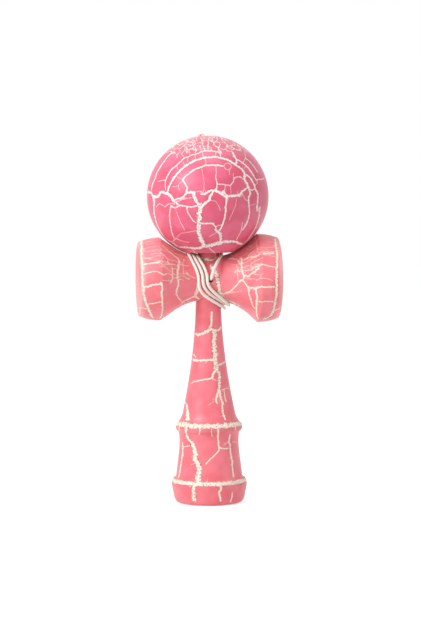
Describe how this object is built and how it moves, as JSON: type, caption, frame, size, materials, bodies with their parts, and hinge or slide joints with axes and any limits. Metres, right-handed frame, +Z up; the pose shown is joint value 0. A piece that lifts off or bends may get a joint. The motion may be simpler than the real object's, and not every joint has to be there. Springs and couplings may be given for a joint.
{
  "type": "kendama",
  "caption": "Wooden skill toy: turned handle with a spike, cross piece with cups, and a ball with a catch hole tied on by a wound string; pink crackle paint.",
  "frame": {"origin": "centre of the flat foot ring, on the surface that the handle stands on", "axes": "+Z up the handle towards the tip of the spike, +X along the cross piece towards the large cup, -Y towards the side with the string hole"},
  "size_m": [0.07, 0.0624, 0.185],
  "materials": {
    "handle_paint": "satin salmon-pink crackle paint over cream",
    "cross_paint": "satin salmon-pink crackle paint over cream",
    "ball_paint": "satin rose-pink crackle paint over off-white",
    "bead_wood": "bare turned wood",
    "string": "twisted cream cord"
  },
  "bodies": {
    "handle": {"handle": "handle_paint", "handle_knot": "string", "string_tail": "string"},
    "cross_piece": {"cross_piece": "cross_paint", "string_lead": "string", "string_winding": "string"},
    "ball_line": {"bead": "bead_wood", "bead_knot": "string", "string_drop": "string", "string_riser": "string"},
    "ball": {"ball": "ball_paint"}
  },
  "joints": [
    {"name": "cross_pull", "type": "slide", "parent": "handle", "child": "cross_piece", "axis": [0, 0, 1], "range_m": [0, 0.06]},
    {"name": "ball_lift", "type": "slide", "parent": "cross_piece", "child": "ball_line", "axis": [0, 0, 1], "range_m": [0, 0.045], "deforming": ["string_riser"]},
    {"name": "ball_spin", "type": "hinge", "parent": "ball_line", "child": "ball", "pos_m": [0, 0, 0.15292], "axis": [0, 0, 1], "continuous": true}
  ]
}
